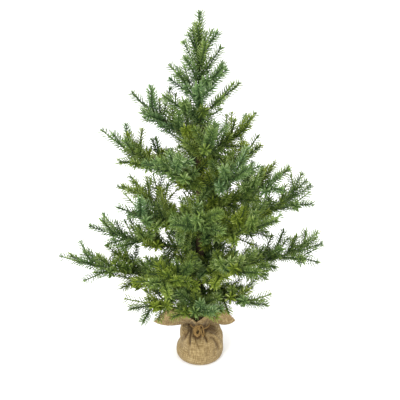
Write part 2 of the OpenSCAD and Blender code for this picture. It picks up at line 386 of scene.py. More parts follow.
# The twine's colours are kept dark, partly its own brown and partly painted shade for the knot
TWINE = jute_material("twine", (0.065, 0.031, 0.008), (0.370, 0.235, 0.080))
FRAY = jute_material("frayed_jute", (0.230, 0.140, 0.060), (0.520, 0.370, 0.190))


# -------------------- foliage

def vary(i, k, n):
    """The design's own steady variation, from -1 to 1, of shoot k on branch i."""
    return math.sin(math.radians(GOLDEN * (k + 1) * n + 71 * (i + 2)))


class Shoot:
    """A line that needles grow on. tone runs from dark to light, warm from blue-green to olive, bare is
    the share of the line without needles, and brown how brown its stem is at the root."""

    def __init__(self, points, radius, tip_radius, warm, tone, bare=0.0, size=1.0, brown=0.0):
        self.points = np.asarray(points, float)
        self.radius, self.tip_radius = radius, tip_radius
        self.warm, self.tone, self.bare, self.size, self.brown = warm, tone, bare, size, brown
        self.roll = 40 * float(np.sum(self.points[0] + self.points[-1]))
        steps = np.linalg.norm(np.diff(self.points, axis=0), axis=1)
        self.run = np.concatenate([[0], np.cumsum(steps)])
        self.length = self.run[-1]

    def at(self, s):
        return np.stack([np.interp(s, self.run, self.points[:, k]) for k in range(3)], -1)

    def heading(self, s):
        step = 1.5 * MM
        return unit(self.at(np.minimum(s + step, self.length)) - self.at(np.maximum(s - step, 0)))


def curved(start, heading, length, lift, n=7):
    """A line from start along heading that curves by lift, a vector, at its end."""
    t = np.linspace(0, 1, n)[:, None]
    return start + heading * length * t + lift * t ** 2


def turned(heading, up, turn, pitch):
    """heading turned by turn about up, then pitched up, as the design turns its shoots."""
    side = np.cross(up, heading)
    flat = heading * math.cos(turn) + side * math.sin(turn)
    return flat * math.cos(pitch) + up * math.sin(pitch)


# Needles stand in ROWS rows, a ring of them at every STATION, and a tuft ends the shoot
ROWS = 6
STATION = 6.6 * MM
TUFT = 5
# Length in mm and lean off the stem in degrees, and how much less of each at the shoot's tip
NEEDLE_LENGTH, TIP_SHORTER = 19.6, 3.6
NEEDLE_LEAN, TIP_CLOSER = 53, 9
TIP_PART = 12 * MM
# Where a needle bends, as a share of its length, and the share of its lean that it keeps from there
BEND_AT, LEAN_KEPT = 0.72, 0.80
# Half width and half thickness of a needle at its root and at its bend, and the sides it has
ROOT_SECTION = (0.84 * MM, 0.62 * MM)
BEND_SECTION = (1.08 * MM, 0.66 * MM)
NEEDLE_SIDES = 4


def grow_needles(builder, shoots, rng):
    """Adds flat, pointed, slightly bent needles in rings along the shoots, and a tuft at each end."""
    parts = {key: [] for key in ("root", "heading", "out", "length", "lean", "tone", "warm", "size")}
    for shoot in shoots:
        start = shoot.bare * shoot.length
        stations = max(4, int((shoot.length - start) / STATION))
        station = np.repeat(np.arange(stations), ROWS)
        row = np.tile(np.arange(ROWS), stations)
        n = len(station)
        s = start + (shoot.length - start) * (station + 0.5 + rng.uniform(-0.07, 0.07, n)) / stations
        spin = shoot.roll + row * (2 * math.pi / ROWS) + rng.normal(0, 0.09, n)
        near_tip = np.clip((s - shoot.length) / TIP_PART + 1, 0, 1)
        lean = np.radians(NEEDLE_LEAN - TIP_CLOSER * near_tip + rng.normal(0, 2.5, n))
        length = shoot.size * (NEEDLE_LENGTH - TIP_SHORTER * near_tip) * MM * rng.uniform(0.93, 1.06, n)
        s = np.concatenate([s, np.full(TUFT, shoot.length)])
        spin = np.concatenate([spin, np.arange(TUFT) * math.radians(GOLDEN) + shoot.roll])
        lean = np.concatenate([lean, np.radians(rng.uniform(22, 40, TUFT))])
        length = np.concatenate([length, shoot.size * rng.uniform(7.5, 10, TUFT) * MM])
        share = s / shoot.length
        heading = shoot.heading(s)
        flat = unit(np.cross(UP, heading) + np.array([1e-6, 0, 0]))
        up = np.cross(heading, flat)
        below = np.clip(-np.sin(spin), 0, 1)
        out = flat * np.cos(spin)[:, None] + up * np.sin(spin)[:, None]
        kept = rng.uniform(0, 1, len(s)) > 0.12 * below
        core = np.interp(s, [0, shoot.length], [shoot.radius, shoot.tip_radius])
        # Needles on a shoot's underside get a lower tone: painted shade
        tone = shoot.tone + 0.035 + 0.12 * share + rng.normal(0, 0.11, len(s)) - 0.06 * below
        tone[n:] -= 0.10
        rows = {"root": shoot.at(s) + out * (core * 0.55)[:, None], "heading": heading, "out": out,
                "length": length, "lean": lean, "tone": tone,
                "warm": shoot.warm + rng.normal(0, 0.07, len(s)) + 0.10 * share,
                "size": np.full(len(s), shoot.size)}
        for key, values in rows.items():
            parts[key].append(values[kept])
    a = {key: np.concatenate(values) for key, values in parts.items()}
    root, heading, out = a["root"], a["heading"], a["out"]
    length, lean, size = a["length"][:, None], a["lean"][:, None], a["size"][:, None]
    first = np.cos(lean) * heading + np.sin(lean) * out
    later = np.cos(lean * LEAN_KEPT) * heading + np.sin(lean * LEAN_KEPT) * out
    across = unit(np.cross(heading, out))
    face = np.cross(across, first)
    bend = root + first * length * BEND_AT
    tip = bend + later * length * (1 - BEND_AT)
    n = len(root)
    verts = np.empty((n, 2 * NEEDLE_SIDES + 1, 3))
    for ring, (centre, (half_width, half_thick)) in enumerate(((root, ROOT_SECTION), (bend, BEND_SECTION))):
        for corner, (x, y) in enumerate(((1, 0), (0, 1), (-1, 0), (0, -1))):
            verts[:, ring * NEEDLE_SIDES + corner] = (
                centre + size * (across * half_width * x + face * half_thick * y))
    verts[:, -1] = tip
    base = np.arange(n)[:, None] * (2 * NEEDLE_SIDES + 1)
    k = np.arange(NEEDLE_SIDES)
    low, low_after = base + k, base + (k + 1) % NEEDLE_SIDES
    high, high_after = low + NEEDLE_SIDES, low_after + NEEDLE_SIDES
    quads = np.stack([low, low_after, high_after, high], -1)
    tris = np.stack([high, high_after, base + 2 * NEEDLE_SIDES + 0 * k], -1)
    # Darker at the root, lighter toward the point: partly the needles' own paler points, partly a painted
    # highlight and painted light shining through the tips
    shade = np.concatenate([np.full(NEEDLE_SIDES, -0.18), np.full(NEEDLE_SIDES, 0.11), [0.27]])
    builder.add(verts.reshape(-1, 3), quads.reshape(-1, 4), tris.reshape(-1, 3), 0,
                tone=np.clip(a["tone"][:, None] + shade[None], 0, 1).ravel(),
                warm=np.clip(np.repeat(a["warm"], 2 * NEEDLE_SIDES + 1), 0, 1))


STEM_SIDES = 7


def grow_stems(builder, shoots):
    """Adds the shoots' stems, each with a slight bud at its tip."""
    for shoot in shoots:
        n = max(4, int(shoot.length / (14 * MM)) + 1)
        s = np.linspace(0, shoot.length * 0.995, n)
        radii = np.interp(s / shoot.length, [0, 0.9, 1],
                          [shoot.radius, shoot.tip_radius, 1.15 * shoot.tip_radius])
        verts, quads, tris = tube(shoot.at(s), radii, STEM_SIDES)
        share = np.concatenate([np.repeat(s, STEM_SIDES), [0, shoot.length]]) / shoot.length
        builder.add(verts, quads, tris, 1, tone=0.3, warm=np.clip(shoot.brown * (1.2 - 1.6 * share), 0, 1))


def foliage(name, shoots, seed, body, node_name):
    """One body's needles and stems, in place of its shoots in the CAD."""
    builder = Builder()
    grow_needles(builder, shoots, np.random.default_rng(seed))
    grow_stems(builder, shoots)
    obj = builder.make(name, [NEEDLES, TWIGS])
    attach(obj, body)
    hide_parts(node_name)


def compass(azimuth):
    """The level direction at an azimuth in radians."""
    return np.array([math.cos(azimuth), math.sin(azimuth), 0.0])


def tilted(outward, rise):
    """A level direction raised by rise, and the upward direction square to it."""
    return outward * math.cos(rise) + UP * math.sin(rise), -outward * math.sin(rise) + UP * math.cos(rise)


def read_stem(index, joint):
    """Root, outward direction, length, rise, bend and radius of a branch's stem, from its joint and wire."""
    root = np.array(joint["pos_m"], float)
    outward = compass(math.atan2(joint["axis"][0], -joint["axis"][1]))
    wire = frame["nodes"][f"branch_{index + 1:02d}_wire"].data.vertices
    points = np.array([v.co for v in wire], float) - root
    along, up = points @ outward, points[:, 2]
    rod = np.hypot(along, up) > 6 * MM
    along, up = along[rod], up[rod]
    rows = np.stack([2 * along, 2 * up, np.ones(len(along))], 1)
    centre_a, centre_u, _ = np.linalg.lstsq(rows, along ** 2 + up ** 2, rcond=None)[0]
    radius = math.hypot(centre_a, centre_u)
    rise = math.atan2(-centre_a, centre_u)
    turn = np.arctan2(along - centre_a, centre_u - up) - rise
    length = radius * turn.max() / WIRE_PART
    return root, outward, length, rise, length / radius, radius


# Shoots are drawn with a stem of one of three sizes: branch, side shoot, twig

def stem_shoot(points, tip_radius, warm, tone, bare, brown):
    return Shoot(points, 1.9 * MM, tip_radius, warm, tone, bare=bare, brown=brown)


def side_shoot(start, heading, reach, lift, warm, tone):
    return Shoot(curved(start, heading, reach, lift), 1.6 * MM, 1.2 * MM, warm, tone)


def twig(start, heading, reach, lift, warm, tone, size=1.0):
    return Shoot(curved(start, heading, reach, lift, 5), 1.4 * MM, 1.1 * MM, warm, tone, size=size)


def fork(rng, heading, up, side, spread, pitch):
    """heading turned to one side and pitched up, by degrees from two ranges."""
    return turned(heading, up, side * math.radians(rng.uniform(*spread)), math.radians(rng.uniform(*pitch)))


def near(rng, mean, spread):
    """A random share about mean, from 0 to 1."""
    return np.clip(mean + rng.normal(0, spread), 0, 1)


# Branches whose root is lower than this carry more
LOW_ROOT = 0.25


def branch_foliage(index, joint):
    root, outward, length, rise, bend, radius = read_stem(index, joint)
    rng = np.random.default_rng(100 + index)

    def stem_at(s):
        """Point, heading and upward direction of the stem at distance s."""
        t = s / length * bend
        ahead, above = tilted(outward, rise)
        place = root + ahead * radius * math.sin(t) + above * (radius - radius * math.cos(t))
        return (place, *tilted(outward, rise + t))

    family = 0.5 + 0.5 * vary(index, 3, 1.7)
    stem_points = [stem_at(s)[0] for s in np.linspace(0.05 * length, length - 2 * MM, 30)]
    shoots = [stem_shoot(stem_points, 1.3 * MM, 0.25 + 0.3 * family, 0.30, bare=0.03, brown=1.0)]

    def add_with_twigs(start, heading, upward, reach, warm, tone):
        main = side_shoot(start, heading, reach - 3 * MM, upward * rng.uniform(-1.0, 5.5) * MM, warm, tone)
        shoots.append(main)
        if reach < 80 * MM:
            return
        for side in (-1, 1):
            here = main.at(np.array((0.34 + side * 0.05) * main.length))
            way = fork(rng, heading, upward, side, (34, 44), (0, 26))
            shoots.append(twig(here, way, rng.uniform(0.46, 0.56) * reach, upward * rng.uniform(0, 3) * MM,
                               warm, tone + rng.uniform(-0.02, 0.06)))

    def add_short(s, side, spread, pitch, reach, warm, tone, size=0.95):
        """A short shoot at distance s, its turn and pitch in degrees and length in mm drawn from ranges."""
        start, heading, upward = stem_at(s)
        way = fork(rng, heading, upward, side, spread, pitch)
        shoots.append(twig(start, way, rng.uniform(*reach) * MM, upward * rng.uniform(-2, 5) * MM,
                           near(rng, warm, 0.25), tone + rng.normal(0, 0.07), size))

    last = math.floor((length - SHOOT_LENGTH - 40 * MM) / SHOOT_STEP + 1e-6)
    for k in range(last + 1):
        side = 1 if k % 2 == 0 else -1
        s = length - SHOOT_LENGTH + 6 * MM - SHOOT_STEP * k
        turn = side * math.radians(FORK_DEGREES + min(12, 2 * k) + 4 * vary(index, k, 1))
        pitch = math.radians(12 + 24 * vary(index, k, 3))
        reach = min(SHOOT_LENGTH + 2 * MM * k, 24 * MM + 0.62 * s) * (1 + 0.12 * vary(index, k, 5))
        start, heading, upward = stem_at(s)
        add_with_twigs(start, turned(heading, upward, turn, pitch), upward, reach,
                       near(rng, 0.22 + 0.35 * family + 0.035 * k, 0.22),
                       0.39 + rng.normal(0, 0.05) - 0.012 * k)
    first = length - SHOOT_LENGTH + 6 * MM - 1.5 * SHOOT_STEP
    for k in range(math.floor((first - 36 * MM) / (3 * SHOOT_STEP) + 1e-6) + 1):
        start, heading, upward = stem_at(first - 3 * SHOOT_STEP * k)
        turn = math.radians(14 * vary(index, k, 3))
        pitch = math.radians(42 + 5 * vary(index, k, 5))
        add_with_twigs(start, turned(heading, upward, turn, pitch), upward, (52 + 6 * vary(index, k, 7)) * MM,
                       near(rng, 0.45 + 0.3 * family, 0.2), 0.42 + rng.normal(0, 0.05))
    # Short shoots round the root and along the inner half, which hide the trunk
    for k in range(14):
        s = (11 + 6 * min(k, 5) + 16 * max(0, k - 5)) * MM
        if s > 0.6 * length:
            break
        spread = (95, 70, 60, 85, 50, 60)[k] if k < 6 else rng.uniform(15, 60)
        add_short(s, 1 if k % 2 else -1, (spread - 12, spread + 12), (-25, 62), (44, 76), 0.62, 0.35)
    # Shoots that reach round the trunk at either side of the root
    for side in (-1, 1):
        add_short(rng.uniform(15, 24) * MM, side, (100, 122), (-5, 48), (50, 70), 0.6, 0.34)
    # The lowest branches carry more, which fill the space over the burlap's ears
    for k in range(6 if root[2] < LOW_ROOT else 0):
        add_short(min(rng.uniform(14, 70) * MM, 0.5 * length), (-1, 1)[k % 2], (25, 85), (-12, 50), (50, 72),
                  0.5, 0.38, size=1.0)
    name = f"branch_{index + 1:02d}"
    foliage(name + "_foliage", shoots, 300 + index, name, name + "_shoots")


def leader_foliage():
    trunk_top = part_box("trunk_wrap")[1].z
    tree_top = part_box("leader_shoots")[1].z
    rng = np.random.default_rng(77)
    stem = np.linspace((0, 0, trunk_top + 4 * MM), (0, 0, tree_top - 3 * MM), 30)
    shoots = [stem_shoot(stem, 1.2 * MM, 0.30, 0.34, bare=0.0, brown=0.5)]
    count = math.floor((tree_top - TIP_LENGTH - trunk_top - LEADER_ROOT - 8 * MM) / LEADER_STEP + 1e-6)
    for k in range(count + 1):
        outward, rise = compass(math.radians(215 + GOLDEN * k)), math.radians(40 + 1.8 * k)
        reach = LEADER_REACH - 4.4 * MM * k
        start = UP * (trunk_top + LEADER_ROOT + LEADER_STEP * k)
        heading, upward = tilted(outward, rise)
        warm, tone = near(rng, 0.3, 0.18), 0.39 + rng.normal(0, 0.05)
        main = side_shoot(start, heading, reach - 3 * MM, upward * rng.uniform(-4, 5) * MM, warm, tone)
        shoots.append(main)
        if reach < 90 * MM:
            continue
        for side in (-1, 1):
            here = main.at(np.array((0.36 + side * 0.05) * main.length))
            way = fork(rng, heading, upward, side, (32, 44), (-6, 16))
            shoots.append(twig(here, way, 0.48 * reach, upward * MM, warm, tone + 0.04))
    # Short shoots round the leader's foot, which hide the trunk's top
    for k in range(9):
        heading, _ = tilted(compass(math.radians(265 + GOLDEN * k)), math.radians((-32, 8, 40)[k % 3]))
        shoots.append(twig(UP * (trunk_top + (8 + 2 * k) * MM), heading, rng.uniform(46, 62) * MM,
                           UP * rng.uniform(0, 6) * MM, near(rng, 0.5, 0.2), 0.36 + rng.normal(0, 0.05)))
    # Steep shoots that stand close round the leader's tip: height in mm, azimuth, rise, length in mm
    for z, azimuth, degrees, reach in ((765, 205, 80, 100), (792, 328, 62, 78)):
        outward = compass(math.radians(azimuth))
        heading, _ = tilted(outward, math.radians(degrees))
        shoots.append(side_shoot(UP * z * MM, heading, reach * MM, outward * rng.uniform(0, 6) * MM,
                                 near(rng, 0.4, 0.2), 0.36 + rng.normal(0, 0.05)))
    foliage("leader_foliage", shoots, 399, "leader", "leader_shoots")


bends = [j for j in frame["joints"] if j["name"].startswith("branch_")]
for number, joint in enumerate(sorted(bends, key=lambda j: j["name"])):
    branch_foliage(number, joint)
leader_foliage()


# -------------------- burlap

BAG_R = 59 * MM
FLOOR_GAP = 0.4 * MM
CLOTH_THICKNESS = 1.3 * MM
TURN_STEPS = 360
BAG_ROWS = 88
COLLAR_ROWS = 36
FILL_ROWS = 12
FILL_EDGE = 24.5 * MM
FILL_MIDDLE = 20 * MM

# The bag's outline from the bottom's centre to the neck, as (radius, height) in mm. At the left
# the wall stands upright over a bulge, and at the front it slopes to the knot.
SIDE_OUTLINE = [
    (0, 0), (20, 0), (38, 0), (49, 0.3), (55.5, 3.5), (58.6, 10), (59.6, 20), (59.8, 34), (59.6, 50),
    (58.4, 63), (55, 73.5), (48.6, 81.5), (40, 86.5), (31.5, 89.5), (25.5, 92), (22.4, 95)]
FRONT_OUTLINE = [
    (0, 0), (20, 0), (38, 0), (49, 0.3), (55.5, 3.5), (58.4, 10), (59.2, 20), (58.8, 32), (57.6, 44),
    (55, 56), (50.5, 67), (44, 76), (36.5, 83), (29.5, 88), (25, 91.5), (22.4, 95)]
LEFT_OUTLINE = [
    (0, 0), (20, 0), (38, 0), (50, 0.3), (57, 3.5), (61, 10), (62, 19), (59.5, 28), (53.5, 35), (51.3, 44),
    (51, 56), (51, 70), (50.4, 82), (46.8, 90), (40, 93), (32, 93), (26, 92.5), (22.4, 95)]

# The collar's free edge: turn in degrees, place in mm, and how far the cloth below it sags.
# Its two far points are the sack's top corners.
HEM = [
    (0, 92, -8, 104, 22), (8, 77, 3, 119, 16), (20, 60, 12, 134, 3), (42, 44, 22, 134, 0),
    (66, 22, 27, 127, 0), (90, 0, 28, 122, 0), (114, -22, 28, 125, 0), (138, -48, 22, 131, 0),
    (158, -76, 13, 134, 3), (172, -101, 4, 120, 12), (180, -118, -8, 101, 26), (187, -109, -11, 115, 12),
    (196, -96, -10, 130, 5), (206, -76, -10, 137, 2), (222, -50, -16, 135, 0), (236, -36, -24, 132, -3),
    (248, -26, -29, 130, -6), (256, -19, -29, 124, -6), (262, -16, -25, 111, -1), (266, -13, -24, 106, 0),
    (270, -9, -26, 114, 0), (276, -2, -27, 121, 0), (284, 7, -26, 126, 0), (292, 16, -23, 131, 0),
    (304, 30, -16, 141, 0), (322, 46, -9, 145, 0), (338, 58, -5, 144, 1), (348, 68, -5, 134, 6),
    (355, 80, -7, 119, 15)]

# Folds over the front: (x, z) along each in mm, its width and depth in mm, and how dark the painted shade in
# its groove is.
# A depth under 0 is a raised roll.
FOLDS = [
    ([(-20, 94), (-22, 90), (-24, 84), (-26, 72), (-27, 52)], 2.2, 3.8, 1.0),
    ([(-25, 94), (-31, 88), (-37, 78), (-42, 60)], 2.0, 3.2, 0.9),
    ([(-36, 90), (-41, 79), (-46, 62), (-50, 42)], 2.2, 2.6, 0.7),
    ([(-10, 82), (-11, 74), (-6, 63), (2, 46)], 1.6, 1.4, 0.6),
    ([(-1, 88), (4, 81), (10, 75), (15, 62)], 2.4, -2.6, 0.0),
    ([(5, 90), (10, 82), (16, 75), (20, 64)], 2.0, 3.2, 1.0),
    ([(8, 91), (16, 86), (28, 82), (40, 75), (48, 62), (53, 45), (57, 14)], 3.0, -3.4, 0.0),
    ([(22, 79), (34, 74), (42, 61), (47, 46), (49, 30)], 2.6, 3.4, 0.85),
    ([(41, 60), (39, 42), (34, 20)], 2.4, 1.5, 0.4),
    ([(20, 62), (19, 44), (16, 24)], 3.0, 1.2, 0.25),
    ([(-30, 56), (-31, 40), (-27, 22)], 3.0, 1.2, 0.25),
    ([(-20, 83), (-13, 80), (-5, 79), (6, 82)], 3.0, 2.4, 0.9),
    ([(10, 93), (22, 91), (34, 88), (48, 81)], 4.6, 2.6, 0.75),
    ([(20, 84), (30, 83), (46, 76)], 1.8, 0.9, 0.5)]

# Creases round the back and sides: place round the turn in degrees, depth in mm, slant
BACK_CREASES = ((20, 1.3, 0.2), (48, 1.6, -0.3), (75, 1.1, 0.1), (104, 1.7, 0.3), (131, 1.2, -0.2),
                (158, 1.5, 0.25), (346, 1.2, -0.2), (194, 1.0, 0.2))


def round_table(theta, table, spread):
    """Values over the turn from rows of (degrees, values...), joined by straight runs and then eased."""
    rows = np.array(table, float)
    degrees = np.concatenate([rows[:, 0] - 360, rows[:, 0], rows[:, 0] + 360])
    at = np.degrees(theta) % 360
    out = np.stack([np.interp(at, degrees, np.tile(rows[:, k], 3)) for k in range(1, rows.shape[1])], -1)
    weights = np.hanning(2 * spread + 3)[1:-1]
    weights /= weights.sum()
    return sum(w * np.roll(out, shift, 0) for shift, w in zip(range(-spread, spread + 1), weights))


def bell(x):
    return np.exp(-x ** 2)


def smooth_step(a, b, x):
    t = np.clip((x - a) / (b - a), 0, 1)
    return t * t * (3 - 2 * t)


def distance_to_line(x, z, points):
    """Distance from each (x, z) to a line through points, and the nearest place's share of the line."""
    points = np.array(points, float) * MM
    steps = np.linalg.norm(np.diff(points, axis=0), axis=1)
    total = steps.sum()
    nearest = np.full(x.shape, np.inf)
    share = np.zeros(x.shape)
    done = 0.0
    for (ax, az), (bx, bz), step in zip(points[:-1], points[1:], steps):
        t = np.clip(((x - ax) * (bx - ax) + (z - az) * (bz - az)) / step ** 2, 0, 1)
        d = np.hypot(x - ax - t * (bx - ax), z - az - t * (bz - az))
        closer = d < nearest
        share = np.where(closer, (done + t * step) / total, share)
        nearest = np.where(closer, d, nearest)
        done += step
    return nearest, share


def bag_surface():
    """The cloth's outer face on a grid of turns and distances from the bottom's centre."""
    theta = np.linspace(0, 2 * math.pi, TURN_STEPS, endpoint=False)
    lines = [smooth_line([(r * MM, 0, z * MM) for r, z in outline], BAG_ROWS)
             for outline in (SIDE_OUTLINE, FRONT_OUTLINE, LEFT_OUTLINE)]
    left = smooth_step(0.2, 0.95, -np.cos(theta))
    front = smooth_step(0.3, 0.95, -np.sin(theta)) * (1 - left)
    weights = np.stack([1 - left - front, front, left], 1)
    radial = sum(w[:, None] * line[None, :, 0] for w, line in zip(weights.T, lines))
    z = sum(w[:, None] * line[None, :, 2] for w, line in zip(weights.T, lines))
    slack = smooth_step(4 * MM, 20 * MM, z) * (1 - smooth_step(80 * MM, 90 * MM, z))
    turn = theta[:, None]
    wave = (0.8 * np.sin(3 * turn + 0.6) * np.sin(z / (17 * MM))
            + 0.5 * np.sin(7 * turn + 2.0) * np.sin(z / (11 * MM) + 1)
            + 0.4 * np.sin(11 * turn + z / (8 * MM)))
    radial = radial + slack * wave * MM
    bag = np.stack([radial * np.cos(turn), radial * np.sin(turn), z], -1)

    # The collar above the neck runs up from the twine and out to its free edge
    table = round_table(theta, HEM, 3) * MM
    hem, sag = table[:, :3], table[:, 3]
    neck = bag[:, -1]
    outward = np.stack([np.cos(theta), np.sin(theta), 0 * theta], 1)
    rise = neck + outward * (3 * MM + 0.45 * sag[:, None]) + UP * (13 * MM - 0.65 * sag[:, None])
    bow = hem - 0.35 * (hem - neck) - UP * sag[:, None] + outward * 3 * MM
    w = np.linspace(0, 1, COLLAR_ROWS + 1)[1:][None, :, None]
    collar = (neck[:, None] * (1 - w) ** 3 + 3 * rise[:, None] * w * (1 - w) ** 2
              + 3 * bow[:, None] * w ** 2 * (1 - w) + hem[:, None] * w ** 3)
    grid = np.concatenate([bag, collar], 1)
    travel = np.concatenate([np.zeros((TURN_STEPS, 1)),
                             np.cumsum(np.linalg.norm(np.diff(grid, axis=1), axis=2), 1)], 1)
    share = np.concatenate([np.zeros(BAG_ROWS), w.ravel()])
    return theta, grid, travel, share


def grid_normals(grid):
    along = np.gradient(grid, axis=1)
    wrapped = np.concatenate([grid[-1:], grid, grid[:1]], 0)
    around = np.gradient(wrapped, axis=0)[1:-1]
    return unit(np.cross(around, along))


def cloth_runs(theta, grid, share):
    """How far round the cloth each place is, and the whole way: by turn on the bag, by length at the hem."""
    hem_steps = np.linalg.norm(np.roll(grid[:, -1], -1, 0) - grid[:, -1], axis=1)
    by_length = np.concatenate([[0], np.cumsum(hem_steps)])
    open_share = smooth_step(0.05, 0.6, share)[None]
    run = theta[:, None] * BAG_R * (1 - open_share) + by_length[:-1, None] * open_share
    full = 2 * math.pi * BAG_R * (1 - open_share) + by_length[-1] * open_share
    return run, np.broadcast_to(full, run.shape)


def gathered_fill(theta):
    """The crumpled cloth inside the collar, from the trunk out to the collar's inner face."""
    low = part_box("trunk_wrap")[1].x + 0.3 * MM
    w = np.linspace(0, 1, FILL_ROWS)[None]
    turn = theta[:, None]
    radial = low + (FILL_EDGE - low) * w
    pleats = np.cos(19 * turn + 1.2 * np.sin(5 * turn)) + 0.5 * np.cos(31 * turn + 0.7)
    z = (99 + 6 * np.sin(math.pi * w) + 1.8 * pleats * np.sin(math.pi * np.clip(w, 0.04, 0.96))) * MM
    return np.stack([radial * np.cos(turn), radial * np.sin(turn), z], -1)


def make_burlap():
    theta, grid, travel, share = bag_surface()
    run, full = cloth_runs(theta, grid, share)
    normal = grid_normals(grid)
    x, z = grid[..., 0], grid[..., 2]
    on_bag = (share == 0)[None]
    front = (grid[..., 1] < 0) * on_bag
    push = np.zeros(x.shape)
    fold_shade = np.zeros(x.shape)

    # Pleats where the cloth is drawn in under the twine, uneven in width and depth, with painted shade in
    # their hollows
    warped = theta + 0.10 * np.sin(3 * theta + 1) + 0.07 * np.sin(8 * theta) + 0.04 * np.sin(17 * theta + 2)
    pleat = np.cos(24 * warped)[:, None]
    second = np.cos(13 * warped + 1.3)[:, None]
    to_neck = travel[:, BAG_ROWS - 1:BAG_ROWS] - travel
    below = np.exp(-np.clip(to_neck, 0, 1) / (15 * MM)) * on_bag
    above = (smooth_step(0, 0.12, share) * (1 - 0.8 * smooth_step(0.3, 1, share)) * (share > 0))[None]
    push += (pleat * 1.5 + second * 0.8) * MM * below * smooth_step(0, 9 * MM, to_neck + 3 * MM)
    push += (pleat * 1.1 + second * 1.3) * MM * above
    fold_shade += np.clip(-pleat, 0, 1) * (below * 0.6 + above * 0.4)

    for points, width, depth, dark in FOLDS:
        d, along = distance_to_line(x, z, points)
        ends = smooth_step(0, 0.12, along) * (1 - smooth_step(0.72, 1.0, along)) * front
        groove = bell(d / (width * MM))
        lips = bell((d - 2.3 * width * MM) / (1.2 * width * MM))
        push += (0.35 * lips * (depth > 0) - groove) * depth * ends * MM
        # Painted shade along each fold's groove
        fold_shade += groove * ends * dark

    # Painted shade darkens the cloth close round the knot
    away = np.hypot(x + 5 * MM, z - 95 * MM)
    fold_shade += 0.75 * bell(away / (24 * MM)) * (grid[..., 1] < 0)

    # Soft creases round the back and sides, with painted shade in their grooves
    for centre, depth, slant in BACK_CREASES:
        lean = (theta[:, None] - math.radians(centre) + math.pi) % (2 * math.pi) - math.pi
        lean = lean + slant * (z - 60 * MM) / (60 * MM)
        band = smooth_step(22 * MM, 48 * MM, z) * on_bag * (1 - smooth_step(84 * MM, 92 * MM, z))
        groove = bell(lean / 0.045)
        ridge = bell((lean - 0.11) / 0.06)
        push += (0.6 * ridge - groove) * depth * band * MM
        fold_shade += groove * band * 0.22

    # Small slack ripples on the ears, and painted shade on the cloth down in the collar
    ears = (share > 0)[None] * smooth_step(0.1, 0.5, share)[None]
    push += ears * (1.2 * np.sin(9 * theta + 0.5)[:, None] * np.sin(5 * share)[None]
                    + 0.7 * np.sin(21 * theta)[:, None] * share[None]) * MM
    fold_shade += (share > 0)[None] * (1 - smooth_step(0.05, 0.4, share)[None]) * 0.45
    grid = grid + normal * push[..., None]
    grid[..., 2] = np.maximum(grid[..., 2], FLOOR_GAP)

    rows, columns = grid.shape[:2]
    i = np.arange(rows)[:, None]
    j = np.arange(1, columns - 1)[None]
    after = (i + 1) % rows
    quads = np.stack([i * columns + j, after * columns + j, after * columns + j + 1, i * columns + j + 1], -1)
    count = rows * columns
    k = np.arange(rows)
    tris = np.stack([np.full(rows, count), ((k + 1) % rows) * columns + 1, k * columns + 1], 1)
    fill = gathered_fill(theta)
    fj = np.arange(FILL_ROWS - 1)[None]
    first = count + 1
    fill_quads = first + np.stack([i * FILL_ROWS + fj, i * FILL_ROWS + fj + 1, after * FILL_ROWS + fj + 1,
                                   after * FILL_ROWS + fj], -1)
    verts = np.vstack([grid.reshape(-1, 3), [[0, 0, grid[:, 0, 2].mean()]], fill.reshape(-1, 3)])
    # The crumpled fill inside the collar is darkened all over: painted shade
    fold_shade = np.concatenate([np.clip(fold_shade, 0, 1).ravel(), [0], np.full(rows * FILL_ROWS, 0.85)])
    # The cloth's own coordinates, along which its threads run
    flat_u = np.concatenate([run.ravel(), [0], np.repeat(theta * FILL_MIDDLE, FILL_ROWS)])
    flat_v = np.concatenate([travel.ravel(), [0], np.tile(np.linspace(0, 15 * MM, FILL_ROWS), rows)])
    wrap = np.concatenate([full.ravel(), [2 * math.pi * BAG_R],
                           np.full(rows * FILL_ROWS, 2 * math.pi * FILL_MIDDLE)])
    keep = np.ones(len(verts), bool)
    keep[k * columns] = False
    renumber = np.cumsum(keep) - 1
    quads = np.vstack([quads.reshape(-1, 4), fill_quads.reshape(-1, 4)])
    obj = mesh_object("burlap", verts[keep], renumber[quads], renumber[tris], [BURLAP], {"fold_shade": fold_shade[keep]})
    me = obj.data
    loops = np.empty(len(me.loops), np.int32)
    me.loops.foreach_get("vertex_index", loops)
    u, v, turn = flat_u[keep][loops], flat_v[keep][loops], wrap[keep][loops]
    # A face that crosses the start of the turn counts on past its end
    totals = np.empty(len(me.polygons), np.int32)
    me.polygons.foreach_get("loop_total", totals)
    owner = np.repeat(np.arange(len(totals)), totals)
    highest = np.zeros(len(totals))
    np.maximum.at(highest, owner, u)
    u = np.where(highest[owner] - u > 0.5 * turn, u + turn, u)
    layer = me.uv_layers.new(name="cloth")
    layer.data.foreach_set("uv", np.stack([u, v], 1).astype(np.float32).ravel())
    thickness = obj.modifiers.new("thickness", "SOLIDIFY")
    thickness.thickness = CLOTH_THICKNESS
    thickness.offset = -1
    bpy.context.view_layer.objects.active = obj
    obj.select_set(True)
    bpy.ops.object.modifier_apply(modifier="thickness")
    obj.select_set(False)
    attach(obj, "base")
    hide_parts("burlap_wrap")
    return obj, grid


